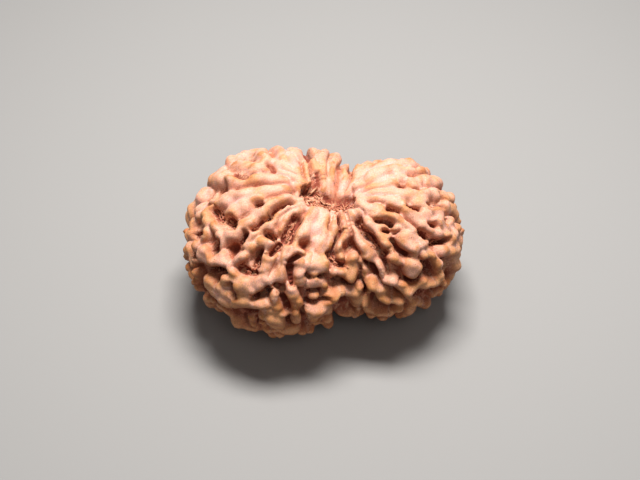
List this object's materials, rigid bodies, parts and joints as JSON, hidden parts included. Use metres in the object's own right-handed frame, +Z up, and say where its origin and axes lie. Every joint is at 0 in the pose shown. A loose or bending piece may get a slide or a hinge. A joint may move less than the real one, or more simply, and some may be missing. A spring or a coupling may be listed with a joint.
{
  "type": "rudraksha seed",
  "caption": "Dried rudraksha stone of two lobes grown together, covered in raised ribs, loops and tubercles that fan out of a long pitted mouth.",
  "frame": {"origin": "centre of the bounding box at its base, on the plane of the flats that the stone rests on", "axes": "+Z up through the mouth, +X along the length towards the smaller lobe, -Y the front, which has the shallow side of the waist"},
  "size_m": [0.0298, 0.022, 0.0166],
  "materials": {
    "stone": "dry, faintly waxy tan with red-brown pits"
  },
  "bodies": {
    "root": {"rudraksha_stone": "stone"}
  },
  "joints": []
}
